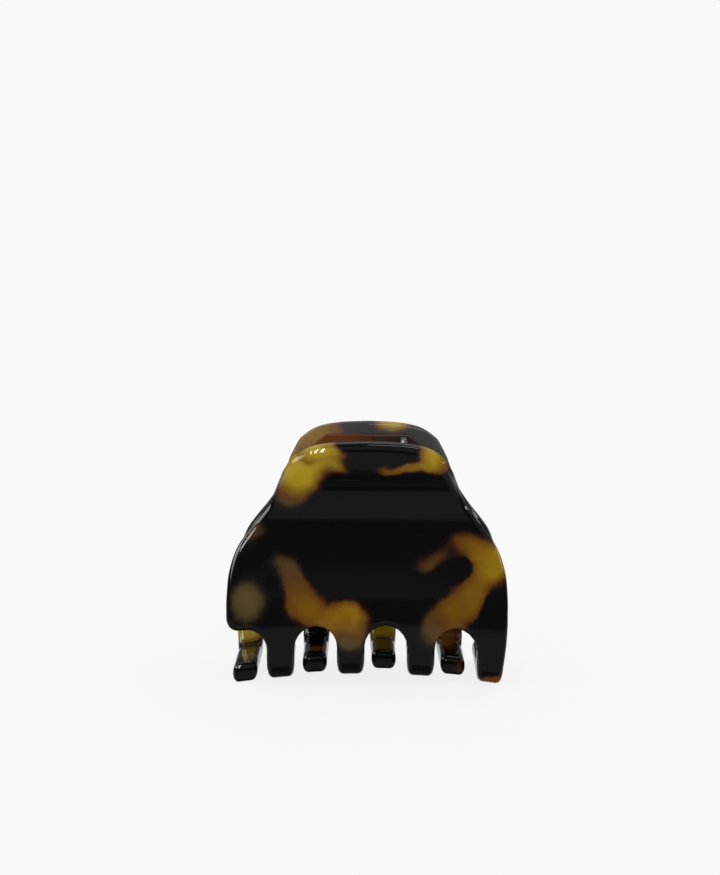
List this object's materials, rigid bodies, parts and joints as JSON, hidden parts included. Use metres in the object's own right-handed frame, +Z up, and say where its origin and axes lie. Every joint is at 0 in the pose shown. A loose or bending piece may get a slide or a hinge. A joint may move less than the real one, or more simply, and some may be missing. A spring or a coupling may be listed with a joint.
{
  "type": "claw clip",
  "caption": "Spring-loaded hair claw clip: two curved tortoiseshell acetate jaws with curled interlocking teeth, hinged below wide pinch handles.",
  "frame": {"origin": "middle of the clip's footprint, on the surface that the closed clip stands on with its teeth", "axes": "+X along the clip's width, +Y from the front jaw towards the rear jaw, +Z up from the teeth to the handles"},
  "size_m": [0.0496, 0.0324, 0.0449],
  "materials": {
    "tortoise_acetate": "polished tortoiseshell, black-brown with amber and honey patches",
    "hinge_acetate": "polished dark amber",
    "pin_steel": "plain drawn steel",
    "spring_steel": "nickel-plated wire"
  },
  "bodies": {
    "rear_half": {"rear_jaw": "tortoise_acetate", "rear_hinge_block": "hinge_acetate", "hinge_pin": "pin_steel", "torsion_spring": "spring_steel"},
    "front_half": {"front_jaw": "tortoise_acetate", "front_hinge_block": "hinge_acetate"}
  },
  "joints": [
    {"name": "jaw_hinge", "type": "hinge", "parent": "rear_half", "child": "front_half", "pos_m": [0, 0, 0.033], "axis": [-1, 0, 0], "range_deg": [0, 84], "stiffness_Nm_per_rad": 0.06, "springref_deg": -40.11, "deforming": ["torsion_spring"]}
  ]
}
